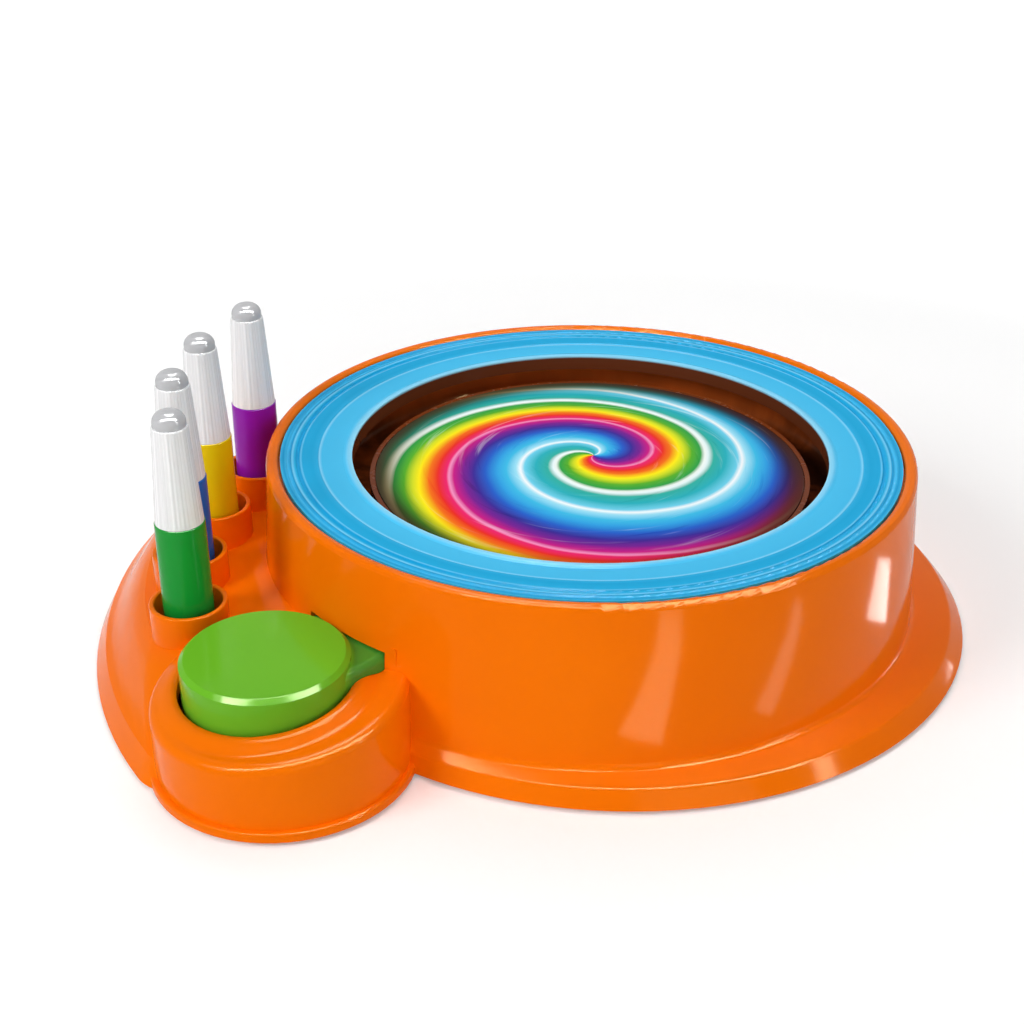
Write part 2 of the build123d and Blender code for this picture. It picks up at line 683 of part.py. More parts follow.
# ---- press paddle ----------------------------------------------------------------------------
pad_bottom = pad_top - pad_skirt
neck_top = pad_top - neck_step
neck_cut = pad_reach - pad_radius + neck_clearance - hinge_reach
sector_tooth_angle = 360 / (2 * sector_radius / module)
with BuildPart() as paddle:
    # pad
    with BuildSketch(drive_plane.offset(pad_bottom)):
        with Locations((pad_reach, pad_side)):
            Circle(pad_radius)
    extrude(amount=pad_skirt)
    chamfer(paddle.faces().sort_by(Axis.Z)[-1].edges(), pad_bevel)
    fillet(paddle.edges().group_by(Axis.Z)[-2:], pad_bevel_round)
    # neck: a block as wide as the hinge, cut away below towards it
    with BuildPart(mode=Mode.PRIVATE) as neck:
        with BuildSketch(drive_plane.offset(pad_bottom)):
            with Locations((hinge_reach - hinge_barrel, hinge_side)):
                Rectangle(pad_reach - hinge_reach + hinge_barrel, hinge_width,
                          align=(Align.MIN, Align.CENTER))
            with Locations((pad_reach, pad_side)):
                Circle(pad_radius - pad_wall / 2, mode=Mode.SUBTRACT)
        extrude(amount=neck_top - pad_bottom)
        top_edges = neck.faces().sort_by(Axis.Z)[-1].edges().filter_by(GeomType.LINE)
        fillet(top_edges.filter_by(Axis((0, 0, 0), drive_plane.x_dir)), neck_round)
    add(neck.part)
    with BuildSketch(swing_plane(hinge_reach, 0)):
        with BuildLine():
            Polyline((-2 * hinge_barrel, 0), (-2 * hinge_barrel, hinge_height + 2 * hinge_barrel),
                     (0, hinge_height + 2 * hinge_barrel), (0, hinge_height - hinge_barrel),
                     (hinge_barrel, hinge_height - hinge_barrel), (neck_cut, pad_bottom),
                     (neck_cut, 0), close=True)
        make_face()
    extrude(amount=2 * pad_radius, both=True, mode=Mode.SUBTRACT)
    with BuildSketch(swing_plane(hinge_reach, hinge_height, hinge_side)):
        Circle(hinge_barrel)
    extrude(amount=hinge_width / 2, both=True)
    # hollow underside
    with BuildSketch(drive_plane.offset(pad_bottom)):
        with Locations((pad_reach, pad_side)):
            Circle(pad_radius - pad_wall)
    extrude(amount=pad_skirt - pad_skin, mode=Mode.SUBTRACT)
    with BuildSketch(drive_plane.offset(pad_bottom)):
        with Locations((hinge_reach + hinge_barrel + pad_wall, hinge_side)):
            Rectangle(pad_reach - hinge_reach - hinge_barrel - pad_wall, hinge_width - 2 * pad_wall,
                      align=(Align.MIN, Align.CENTER))
        with Locations((pad_reach, pad_side)):
            Circle(pad_radius - pad_wall / 2, mode=Mode.SUBTRACT)
    extrude(amount=neck_top - pad_skin - pad_bottom, mode=Mode.SUBTRACT)
    # catch under the pod's roof, which stops the paddle at rest
    with BuildSketch(drive_plane.offset(pad_bottom)):
        with Locations((pad_reach + pad_radius, pad_side)):
            Rectangle(2 * catch_reach, catch_width)
    extrude(amount=pod_roof_at(pad_reach + pad_hole) - wall - pod_dish - loose_gap - pad_bottom)
    # toothed sector and the gusset that carries it
    with BuildSketch(swing_plane(hinge_reach, hinge_height)) as sector:
        Circle(sector_radius - dedendum * module)
        with BuildLine():
            Polyline((0, 0), (-0.32 * sector_radius, -1.2 * sector_radius),
                     (0.75 * sector_radius, -1.2 * sector_radius),
                     (0.75 * sector_radius, -0.5), (0, -0.5), close=True)
        make_face(mode=Mode.INTERSECT)
        for tooth_index in range(-1, 4):
            with PolarLocations(0, 1, start_angle=-90 + tooth_index * sector_tooth_angle):
                Polygon(*tooth_outline(2 * sector_radius / module), align=None)
    extrude(amount=sector_width / 2, both=True)
    with BuildSketch(swing_plane(hinge_reach, hinge_height, hinge_side)):
        Circle(hinge_pin_radius + running_gap)
    extrude(amount=hinge_width, both=True, mode=Mode.SUBTRACT)
paddle.part.label = "press_paddle"
export_step(paddle.part, "parts/press_paddle.step")

with BuildPart() as hinge_pin:
    with BuildSketch(swing_plane(hinge_reach, hinge_height, hinge_side)):
        Circle(hinge_pin_radius)
    extrude(amount=hinge_pin_length / 2 - seat_gap, both=True)
hinge_pin.part.label = "hinge_pin"
export_step(hinge_pin.part, "parts/hinge_pin.step")

# ---- return spring under the pad --------------------------------------------------------------
spring_height = pad_top - pad_skin - plate_top - 2 * spring_wire - 2 * seat_gap
with BuildPart() as return_spring:
    spring_foot = in_drive(spring_reach, pad_side, plate_top + spring_wire + seat_gap)
    with BuildLine(Plane(origin=spring_foot)) as coil:
        Helix(pitch=spring_height / spring_turns, height=spring_height, radius=spring_radius)
    with BuildSketch(coil.line ^ 0):
        RegularPolygon(spring_wire, 6)
    sweep(path=coil.line, is_frenet=True)
return_spring.part.label = "return_spring"
export_step(return_spring.part, "parts/return_spring.step")

# ---- rack --------------------------------------------------------------------------------------
rack_inner_end = axle_reach - 9.0
rack_outer_end = hinge_reach + 13.0
rack_side_top = wheel_height - 2.0
rack_step = axle_reach + 20.0
with BuildPart() as rack:
    with BuildSketch(drive_plane.offset(rack_bottom)):
        with Locations(((rack_inner_end + rack_outer_end) / 2, 0)):
            Rectangle(rack_outer_end - rack_inner_end, rack_width)
    extrude(amount=rack_back - rack_bottom)
    with BuildSketch(drive_plane.offset(rack_bottom)) as side_rack:
        with Locations(((rack_inner_end + rack_step) / 2, 0)):
            Rectangle(rack_step - rack_inner_end, rack_width)
    extrude(amount=rack_side_top - rack_bottom)
    # relieve the side under the side teeth, then add the teeth
    with BuildSketch(drive_plane.offset(rack_bottom)):
        with Locations(((rack_inner_end + rack_step) / 2, rack_width / 2)):
            Rectangle(rack_step - rack_inner_end, 2 * dedendum * module)
    extrude(amount=rack_side_top - rack_bottom, mode=Mode.SUBTRACT)
    with BuildSketch(drive_plane.offset(rack_bottom)):
        with Locations(*[(axle_reach + (k - 0.5) * tooth_pitch, rack_width / 2) for k in range(-1, 6)]):
            Polygon(*rack_tooth(), align=None)
    extrude(amount=rack_side_top - rack_bottom)
    with BuildSketch(swing_plane(hinge_reach, rack_pitch_height)):
        with Locations(*[((k - 0.5) * tooth_pitch, 0) for k in range(-1, 5)]):
            Polygon(*rack_tooth(), align=None)
    extrude(amount=sector_width / 2 + 0.5, both=True)
rack.part.label = "rack_slide"
export_step(rack.part, "parts/rack_slide.step")

# ---- keeper over the rack ------------------------------------------------------------------------
with BuildPart() as rack_keeper:
    with BuildSketch(drive_plane.offset(plate_top + seat_gap)):
        with Locations((keeper_reach, 0)):
            Rectangle(keeper_length, 2 * (keeper_screw_side + keeper_margin))
    extrude(amount=rack_back + keeper_thickness - plate_top)
    fillet(rack_keeper.edges().filter_by(Axis.Z), keeper_corner)
    with BuildSketch(drive_plane.offset(plate_top)):
        with Locations((keeper_reach, 0)):
            Rectangle(keeper_length + 1, rack_width + 0.3)
    extrude(amount=rack_back + 0.2 - plate_top, mode=Mode.SUBTRACT)
    with BuildSketch(drive_plane.offset(plate_top)):
        with Locations(*mechanism_screws_at[:2]):
            Circle(pilot_radius)
    extrude(amount=keeper_top, mode=Mode.SUBTRACT)
rack_keeper.part.label = "rack_keeper"
export_step(rack_keeper.part, "parts/rack_keeper.step")

# ---- bridge over the large wheel, which holds the axle's upper end ---------------------------------
bridge_bottom = wheel_top + 1.0
bridge_thickness = 2.5
bridge_width = 10.0
bridge_foot = 7.0
bridge_tab_side = bridge_screw_side - 2.0
bridge_tab_length = 14.0
bridge_clearance = 1.8   # round the large wheel
tab_top = plate_top + 3.0
with BuildPart() as gear_bridge:
    with BuildSketch(drive_plane.offset(bridge_bottom)):
        with Locations((axle_reach, axle_side)):
            Rectangle(bridge_width, 2 * bridge_foot_side + bridge_foot)
    extrude(amount=bridge_thickness)
    with BuildSketch(drive_plane.offset(plate_top + seat_gap)):
        with Locations(*[(axle_reach, axle_side + s * bridge_foot_side) for s in (-1, 1)]):
            Rectangle(bridge_width, bridge_foot)
    extrude(amount=bridge_bottom + bridge_thickness - plate_top - seat_gap)
    with BuildSketch(drive_plane.offset(plate_top + seat_gap)):
        with Locations(*[(axle_reach, axle_side + s * bridge_tab_side) for s in (-1, 1)]):
            Rectangle(bridge_width, bridge_tab_length)
    extrude(amount=tab_top - plate_top - seat_gap)
    fillet(gear_bridge.edges().filter_by(Axis.Z), 1.2)
    with BuildSketch(drive_plane.offset(plate_top)):
        with Locations((axle_reach, axle_side)):
            Circle(wheel_radius + bridge_clearance)
    extrude(amount=bridge_bottom - plate_top, mode=Mode.SUBTRACT)
    with BuildSketch(drive_plane.offset(plate_top)):
        with Locations((axle_reach, axle_side)):
            Circle(axle_radius + running_gap)
        with Locations(*mechanism_screws_at[2:]):
            Circle(pilot_radius)
    extrude(amount=bridge_bottom + bridge_thickness, mode=Mode.SUBTRACT)
gear_bridge.part.label = "gear_bridge"
export_step(gear_bridge.part, "parts/gear_bridge.step")

# ---- screws of the keeper and the bridge ------------------------------------------------------------
small_screw_radius = pilot_radius - 0.1
small_head_radius = 2.4
small_head_height = 1.5
seats = [keeper_top, keeper_top, tab_top, tab_top]
with BuildPart() as mechanism_screws:
    for (reach, side), seat in zip(mechanism_screws_at, seats):
        with BuildSketch(drive_plane.offset(blind_floor + seat_gap)):
            with Locations((reach, side)):
                Circle(small_screw_radius)
        extrude(amount=seat - blind_floor)
        with BuildSketch(drive_plane.offset(seat + seat_gap)):
            with Locations((reach, side)):
                Circle(small_head_radius)
        extrude(amount=small_head_height)
mechanism_screws.part.label = "mechanism_screws"
export_step(mechanism_screws.part, "parts/mechanism_screws.step")

# ---- compound gear and its axle -----------------------------------------------------------------
pinion_bottom = axle_boss_top + 0.2
wheel_phase = degrees(atan2(-axle_side, -axle_reach))
gear_hub_radius = 4.5
gear_hub_top = bridge_bottom - 0.3
wheel_holes = 6
with BuildPart() as compound_gear:
    with BuildSketch(drive_plane.offset(pinion_bottom)):
        with Locations((axle_reach, axle_side)):
            Circle(pinion_radius - dedendum * module)
            with PolarLocations(0, pinion_teeth, start_angle=-90):
                Polygon(*tooth_outline(pinion_teeth), align=None)
    extrude(amount=wheel_height - pinion_bottom)
    with BuildSketch(drive_plane.offset(wheel_height)):
        with Locations((axle_reach, axle_side)):
            Circle(wheel_radius - dedendum * module)
            with PolarLocations(0, wheel_teeth, start_angle=wheel_phase):
                Polygon(*tooth_outline(wheel_teeth), align=None)
            with PolarLocations(wheel_radius * 0.58, wheel_holes):
                Circle(wheel_radius * 0.2, mode=Mode.SUBTRACT)
    extrude(amount=wheel_thickness)
    with BuildSketch(drive_plane.offset(wheel_top)):
        with Locations((axle_reach, axle_side)):
            Circle(gear_hub_radius)
    extrude(amount=gear_hub_top - wheel_top)
    with BuildSketch(drive_plane.offset(pinion_bottom)):
        with Locations((axle_reach, axle_side)):
            Circle(axle_radius + running_gap)
    extrude(amount=gear_hub_top - pinion_bottom, mode=Mode.SUBTRACT)
compound_gear.part.label = "compound_gear"
export_step(compound_gear.part, "parts/compound_gear.step")

bridge_top = bridge_bottom + bridge_thickness
axle_clip_thickness = 0.6
axle_top = bridge_top + axle_clip_thickness + 0.8
with BuildPart() as gear_axle:
    with BuildSketch(drive_plane.offset(blind_floor + seat_gap)):
        with Locations((axle_reach, axle_side)):
            Circle(axle_radius)
    extrude(amount=axle_top - blind_floor - seat_gap)
gear_axle.part.label = "gear_axle"
export_step(gear_axle.part, "parts/gear_axle.step")

with BuildPart() as axle_clip:
    with BuildSketch(drive_plane.offset(bridge_top + seat_gap)):
        with Locations((axle_reach, axle_side)):
            Circle(axle_radius + 1.8)
            Circle(axle_radius + running_gap, mode=Mode.SUBTRACT)
    extrude(amount=axle_clip_thickness)
axle_clip.part.label = "axle_clip"
export_step(axle_clip.part, "parts/axle_clip.step")

# ---- drive pinion, whose upper end is the cam of the freewheel -------------------------------------
cam_radius = race_radius - cam_gap
roller_ring = race_radius - roller_radius - 0.12
pocket_floor = roller_ring - roller_radius - 0.1
driver_phase = wheel_phase + 180 + 180 / driver_teeth
with BuildPart() as drive_pinion:
    with BuildSketch(drive_plane.offset(driver_bottom)):
        Circle(driver_radius - dedendum * module)
        with PolarLocations(0, driver_teeth, start_angle=driver_phase):
            Polygon(*tooth_outline(driver_teeth), align=None)
    extrude(amount=driver_top - driver_bottom)
    with BuildSketch(drive_plane.offset(driver_top)):
        Circle(driver_radius + addendum * module)
    extrude(amount=cam_bottom - driver_top)
    with BuildSketch(drive_plane.offset(cam_bottom)):
        Circle(cam_radius)
    extrude(amount=cam_top - cam_bottom)
    with BuildSketch(drive_plane.offset(cam_floor)):
        with PolarLocations(0, roller_count):
            Polygon((pocket_floor, -1.2 * roller_radius), (race_radius, -1.2 * roller_radius),
                    (race_radius, 1.8 * roller_radius), (pocket_floor + 1.1, 1.8 * roller_radius),
                    (pocket_floor, roller_radius), align=None)
    extrude(amount=cam_top - cam_floor, mode=Mode.SUBTRACT)
    with BuildSketch(Plane.XY.offset(driver_bottom)):
        Circle(spindle_radius + running_gap)
    extrude(amount=cam_top - driver_bottom, mode=Mode.SUBTRACT)
drive_pinion.part.label = "drive_pinion"
export_step(drive_pinion.part, "parts/drive_pinion.step")

with BuildPart() as freewheel_rollers:
    with BuildSketch(drive_plane.offset(cam_floor + 0.2)):
        with PolarLocations(roller_ring, roller_count):
            Circle(roller_radius)
    extrude(amount=roller_length)
freewheel_rollers.part.label = "freewheel_rollers"
export_step(freewheel_rollers.part, "parts/freewheel_rollers.step")

# ---- turning stack on the spindle --------------------------------------------------------------------
with BuildPart() as freewheel_cup:
    with BuildSketch(Plane.XZ):
        with BuildLine():
            Polyline((spindle_radius + running_gap, web_bottom), (race_radius, web_bottom),
                     (race_radius, race_bottom), (race_outer, race_bottom), (race_outer, web_top),
                     (hub_radius, web_top), (hub_radius, hub_top),
                     (spindle_radius + running_gap, hub_top), close=True)
        make_face()
    revolve(axis=Axis.Z)
freewheel_cup.part.label = "freewheel_cup"
export_step(freewheel_cup.part, "parts/freewheel_cup.step")

with BuildPart() as flywheel:
    with BuildSketch(Plane.XY.offset(flywheel_bottom)):
        Circle(flywheel_radius)
        Circle(hub_radius + running_gap, mode=Mode.SUBTRACT)
        with PolarLocations(flywheel_radius * 0.58, 6):
            Circle(flywheel_radius * 0.14, mode=Mode.SUBTRACT)
    extrude(amount=flywheel_thickness)
flywheel.part.label = "flywheel"
export_step(flywheel.part, "parts/flywheel.step")

with BuildPart() as flywheel_clip:
    with BuildSketch(Plane.XY.offset(flywheel_top + seat_gap)):
        Circle(hub_radius + 3.5)
        Circle(hub_radius + running_gap, mode=Mode.SUBTRACT)
    extrude(amount=clip_thickness)
flywheel_clip.part.label = "flywheel_clip"
export_step(flywheel_clip.part, "parts/flywheel_clip.step")

with BuildPart() as lower_bush:
    with BuildSketch(Plane.XY.offset(plate_top + seat_gap)):
        Circle(bush_radius)
        Circle(spindle_radius + running_gap, mode=Mode.SUBTRACT)
    extrude(amount=boss_top - plate_top - seat_gap)
lower_bush.part.label = "lower_bush"
export_step(lower_bush.part, "parts/lower_bush.step")

with BuildPart() as upper_bush:
    with BuildSketch(Plane.XY.offset(upper_bush_bottom)):
        Circle(bush_radius + 1.5)
    extrude(amount=bush_flange)
    with BuildSketch(Plane.XY.offset(upper_bush_bottom)):
        Circle(bush_radius)
    extrude(amount=well_floor - upper_bush_bottom - seat_gap)
    with BuildSketch(Plane.XY.offset(upper_bush_bottom)):
        Circle(spindle_radius + running_gap)
    extrude(amount=well_floor - upper_bush_bottom, mode=Mode.SUBTRACT)
upper_bush.part.label = "upper_bush"
export_step(upper_bush.part, "parts/upper_bush.step")

with BuildPart() as thrust_washer:
    with BuildSketch(Plane.XY.offset(boss_top + seat_gap)):
        Circle(bush_radius + 1.2)
        Circle(spindle_radius + running_gap, mode=Mode.SUBTRACT)
    extrude(amount=washer_thickness)
thrust_washer.part.label = "thrust_washer"
export_step(thrust_washer.part, "parts/thrust_washer.step")

spindle_bottom = plate_top + seat_gap
spindle_flat = spindle_radius - 0.5
flat_bottom = collar_top + 0.6
platter_screw_radius = 1.2
platter_screw_depth = 6.0
with BuildPart() as spindle:
    with BuildSketch(Plane.XY.offset(spindle_bottom)):
        Circle(spindle_radius)
    extrude(amount=spindle_top - spindle_bottom)
    with BuildSketch(Plane.XY.offset(flat_bottom)):
        with Locations((0, spindle_flat + spindle_radius), (0, -spindle_flat - spindle_radius)):
            Rectangle(3 * spindle_radius, 2 * spindle_radius)
    extrude(amount=spindle_top - flat_bottom, mode=Mode.SUBTRACT)
    with BuildSketch(Plane.XY.offset(spindle_top - platter_screw_depth)):
        Circle(platter_screw_radius + running_gap)
    extrude(amount=platter_screw_depth, mode=Mode.SUBTRACT)
spindle.part.label = "spindle"
export_step(spindle.part, "parts/spindle.step")

# ---- platter -------------------------------------------------------------------------------------------
platter_hub_radius = collar_radius - 1
skirt_inner = collar_radius + 1.5
skirt_wall = 1.4
rib_reach = 0.9 * platter_radius
screw_cone = 2.6
with BuildPart() as platter:
    with BuildSketch(Plane.XY.offset(platter_bottom)):
        Circle(platter_radius)
    extrude(amount=platter_thickness)
    with BuildSketch(Plane.XY.offset(platter_top)):
        Circle(platter_radius)
        Circle(card_radius + loose_gap, mode=Mode.SUBTRACT)
    extrude(amount=platter_lip)
    with BuildSketch(Plane.XY.offset(platter_bottom)):
        with PolarLocations(rib_reach / 2, platter_ribs):
            Rectangle(rib_reach, platter_rib_width)
        Circle(rib_reach)
        Circle(rib_reach - platter_rib_width, mode=Mode.SUBTRACT)
        with PolarLocations(rib_reach / 2, platter_ribs):
            Rectangle(rib_reach, platter_rib_width)
    extrude(amount=-platter_rib_height)
    with BuildSketch(Plane.XY.offset(platter_bottom)):
        Circle(skirt_inner + skirt_wall)
    extrude(amount=-platter_rib_height - 3.0)
    with BuildSketch(Plane.XY.offset(platter_bottom)):
        Circle(skirt_inner)
    extrude(amount=-platter_rib_height - 3.0, mode=Mode.SUBTRACT)
    with BuildSketch(Plane.XY.offset(platter_bottom)):
        Circle(platter_hub_radius)
        with PolarLocations((platter_hub_radius + skirt_inner) / 2, platter_ribs):
            Rectangle(skirt_inner - platter_hub_radius + 1, platter_rib_width)
    extrude(amount=flat_bottom - platter_bottom)
    with BuildSketch(Plane.XY.offset(platter_bottom)):
        Circle(spindle_radius + running_gap)
        Rectangle(3 * spindle_radius, 2 * (spindle_flat + running_gap), mode=Mode.INTERSECT)
    extrude(amount=flat_bottom - platter_bottom, mode=Mode.SUBTRACT)
    with Locations((0, 0, platter_top)):
        CounterSinkHole(radius=platter_screw_radius + 0.2, counter_sink_radius=screw_cone + 0.2,
                        depth=platter_thickness)
platter.part.label = "platter"
export_step(platter.part, "parts/platter.step")

with BuildPart() as platter_screw:
    with BuildSketch(Plane.XZ):
        with BuildLine():
            Polyline((0, platter_top - 0.2), (screw_cone - 0.2, platter_top - 0.2),
                     (platter_screw_radius, platter_top - 0.2 - (screw_cone - 0.2 - platter_screw_radius)),
                     (platter_screw_radius, spindle_top - platter_screw_depth + 0.3),
                     (0, spindle_top - platter_screw_depth + 0.3), close=True)
        make_face()
    revolve(axis=Axis.Z)
platter_screw.part.label = "platter_screw"
export_step(platter_screw.part, "parts/platter_screw.step")

with BuildPart() as paint_card:
    with BuildSketch(Plane.XY.offset(card_top - card_thickness)):
        Circle(card_radius)
    extrude(amount=card_thickness)
paint_card.part.label = "paint_card"
export_step(paint_card.part, "parts/paint_card.step")

# ---- splash ring -----------------------------------------------------------------------------------------
ring_bottom = ledge_height + seat_gap
ring_edge_rise = 0.3
ring_top = ring_bottom + ring_thickness + ring_edge_rise
ring_seat = well_top_radius - seat_play
ring_step_radius = ring_radius - ring_step
groove_depth = 0.4
groove_radius = 0.7


def ring_top_at(radius):
    return ring_top - ring_drop * (ring_radius - radius) / (ring_radius - ring_bore)


with BuildPart() as splash_ring:
    with BuildSketch(Plane.XZ) as ring_profile:
        with BuildLine():
            Polyline((ring_radius, ring_bottom), (ring_radius, ring_top),
                     (ring_step_radius, ring_top_at(ring_step_radius) + ring_edge_rise / 2),
                     (ring_step_radius - ring_edge_rise, ring_top_at(ring_step_radius)),
                     (ring_bore + 2 * ring_lip, ring_top_at(ring_bore + 2 * ring_lip)),
                     (ring_bore + ring_lip, ring_top_at(ring_bore) + 0.6),
                     (ring_bore, ring_top_at(ring_bore) + 0.4),
                     (ring_bore, ring_top_at(ring_bore) - ring_skirt),
                     (ring_bore + ring_lip, ring_top_at(ring_bore) - ring_skirt),
                     (ring_bore + ring_lip, ring_top_at(ring_bore) - ring_thickness),
                     (ring_seat, ring_bottom), close=True)
        make_face()
        for groove_inset in ring_grooves:
            groove = ring_radius - groove_inset
            with Locations((groove, ring_top_at(groove) + groove_radius - groove_depth)):
                Circle(groove_radius, mode=Mode.SUBTRACT)
    revolve(axis=Axis.Z)
splash_ring.part.label = "splash_ring"
export_step(splash_ring.part, "parts/splash_ring.step")

# ---- felt pens, cap down in their sockets ------------------------------------------------------------------
cap_bottom = socket_floor + seat_gap
cap_top = cap_bottom + cap_length
neck_radius = cap_radius - cap_draw - cap_wall - 0.1
barrel_top = cap_top + seat_gap + barrel_length
bore_radius = barrel_end_radius - barrel_wall
neck_bottom = cap_top - neck_length
nib_bottom = neck_bottom - nose_length - 3.0


def pen_piece(place, profile, crown):
    """Revolve a half profile of (radius, height), its highest outer corner rounded, about the pen's axis."""
    axis_plane = Plane(origin=(place[0], place[1], 0), x_dir=(1, 0, 0), z_dir=(0, -1, 0))
    with BuildPart() as piece:
        with BuildSketch(axis_plane) as outline:
            with BuildLine():
                Polyline(*profile, close=True)
            make_face()
            fillet(outline.vertices().group_by(Axis.Y)[-1].sort_by(Axis.X)[-1], crown)
        revolve(axis=Axis((place[0], place[1], 0), (0, 0, 1)))
    return piece.part


cap_mouth_radius = cap_radius - cap_draw
cap_profile = [(0, cap_bottom), (cap_radius - cap_chamfer, cap_bottom),
               (cap_radius, cap_bottom + cap_chamfer), (cap_mouth_radius, cap_top),
               (cap_mouth_radius - cap_wall, cap_top), (cap_mouth_radius - cap_wall, neck_bottom - 1),
               (cap_radius - 2 * cap_wall, cap_bottom + cap_floor), (0, cap_bottom + cap_floor)]
barrel_profile = [(bore_radius, barrel_top), (barrel_end_radius, barrel_top),
                  (barrel_radius, cap_top + seat_gap), (neck_radius, cap_top + seat_gap),
                  (neck_radius, neck_bottom), (nib_radius + 1.2, neck_bottom - nose_length),
                  (nib_radius + running_gap, neck_bottom - nose_length),
                  (nib_radius + running_gap, neck_bottom), (bore_radius, neck_bottom)]
nib_profile = [(0, nib_bottom), (nib_radius * 0.5, nib_bottom + 0.6), (nib_radius, nib_bottom + 2.4),
               (nib_radius, neck_bottom), (0, neck_bottom)]
reservoir_profile = [(0, neck_bottom + seat_gap), (bore_radius - reservoir_gap, neck_bottom + seat_gap),
                     (bore_radius - reservoir_gap, barrel_top - plug_depth - seat_gap),
                     (0, barrel_top - plug_depth - seat_gap)]
plug_radius = barrel_end_radius - plug_shoulder
plug_profile = [(0, barrel_top - plug_depth), (bore_radius - running_gap, barrel_top - plug_depth),
                (bore_radius - running_gap, barrel_top + seat_gap), (plug_radius, barrel_top + seat_gap),
                (plug_radius, barrel_top + plug_dome), (0, barrel_top + plug_dome)]
pen_profiles = {"cap": (cap_profile, cap_mouth_round), "barrel": (barrel_profile, barrel_end_round),
                "nib": (nib_profile, nib_round), "reservoir": (reservoir_profile, reservoir_round),
                "end_plug": (plug_profile, plug_round)}
for pen_colour, pen_place in zip(pen_colours, pen_places):
    for piece_name, (piece_profile, crown) in pen_profiles.items():
        pen_part = pen_piece(pen_place, piece_profile, crown)
        pen_part.label = f"{pen_colour}_pen_{piece_name}"
        export_step(pen_part, f"parts/{pen_part.label}.step")
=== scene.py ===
import math

import bmesh
import bpy
from mathutils import Matrix, Vector


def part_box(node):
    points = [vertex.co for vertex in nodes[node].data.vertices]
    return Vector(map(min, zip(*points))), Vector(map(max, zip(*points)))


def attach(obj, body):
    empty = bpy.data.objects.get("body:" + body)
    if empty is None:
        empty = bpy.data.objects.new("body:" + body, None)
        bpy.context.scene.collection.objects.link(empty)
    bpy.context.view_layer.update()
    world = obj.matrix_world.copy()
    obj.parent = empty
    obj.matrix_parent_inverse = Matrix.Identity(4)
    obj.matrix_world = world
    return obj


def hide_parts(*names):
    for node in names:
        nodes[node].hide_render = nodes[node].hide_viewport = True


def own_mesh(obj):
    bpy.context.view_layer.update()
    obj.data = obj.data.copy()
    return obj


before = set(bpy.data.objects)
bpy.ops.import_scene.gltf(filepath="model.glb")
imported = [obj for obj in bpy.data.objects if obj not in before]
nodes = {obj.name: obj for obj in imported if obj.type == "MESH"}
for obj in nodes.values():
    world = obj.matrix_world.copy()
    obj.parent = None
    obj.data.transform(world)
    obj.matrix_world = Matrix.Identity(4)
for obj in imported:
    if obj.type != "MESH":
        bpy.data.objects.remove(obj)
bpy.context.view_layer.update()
print("model loaded:", len(nodes), "parts")

mm = 0.001
# the sRGB curve: a straight toe and then a power
curve = {"toe": 0.04045, "toeSlope": 12.92, "lift": 0.055, "power": 2.4}


def linear(red, green, blue):
    # a colour as it shows on screen, 0-255, as the shader wants it
    parts = []
    for value in (red, green, blue):
        share = value / 255
        bent = ((share + curve["lift"]) / (1 + curve["lift"])) ** curve["power"]
        parts.append(share / curve["toeSlope"] if share <= curve["toe"] else bent)
    return (*parts, 1.0)


class Number:
    # a node's output socket, on which arithmetic adds Math nodes

    def __init__(self, finish, socket):
        self.finish = finish
        self.socket = socket

    def run(self, operation, other=None):
        values = {0: self} if other is None else {0: self, 1: other}
        return self.finish.node("ShaderNodeMath", {"operation": operation}, values)

    def __add__(self, other):
        return self.run("ADD", other)

    def __sub__(self, other):
        return self.run("SUBTRACT", other)

    def __mul__(self, other):
        return self.run("MULTIPLY", other)

    def __truediv__(self, other):
        return self.run("DIVIDE", other)

    def between(self, low, high):
        # 0 at low, 1 at high and a soft step between them; low may be the larger of the two
        values = {0: self, 1: low, 2: high, 3: 0.0, 4: 1.0}
        return self.finish.node("ShaderNodeMapRange", {"interpolation_type": "SMOOTHSTEP"}, values)

    def wave(self):
        # a sine that runs from 0 to 1
        return self.run("SINE") * 0.5 + 0.5


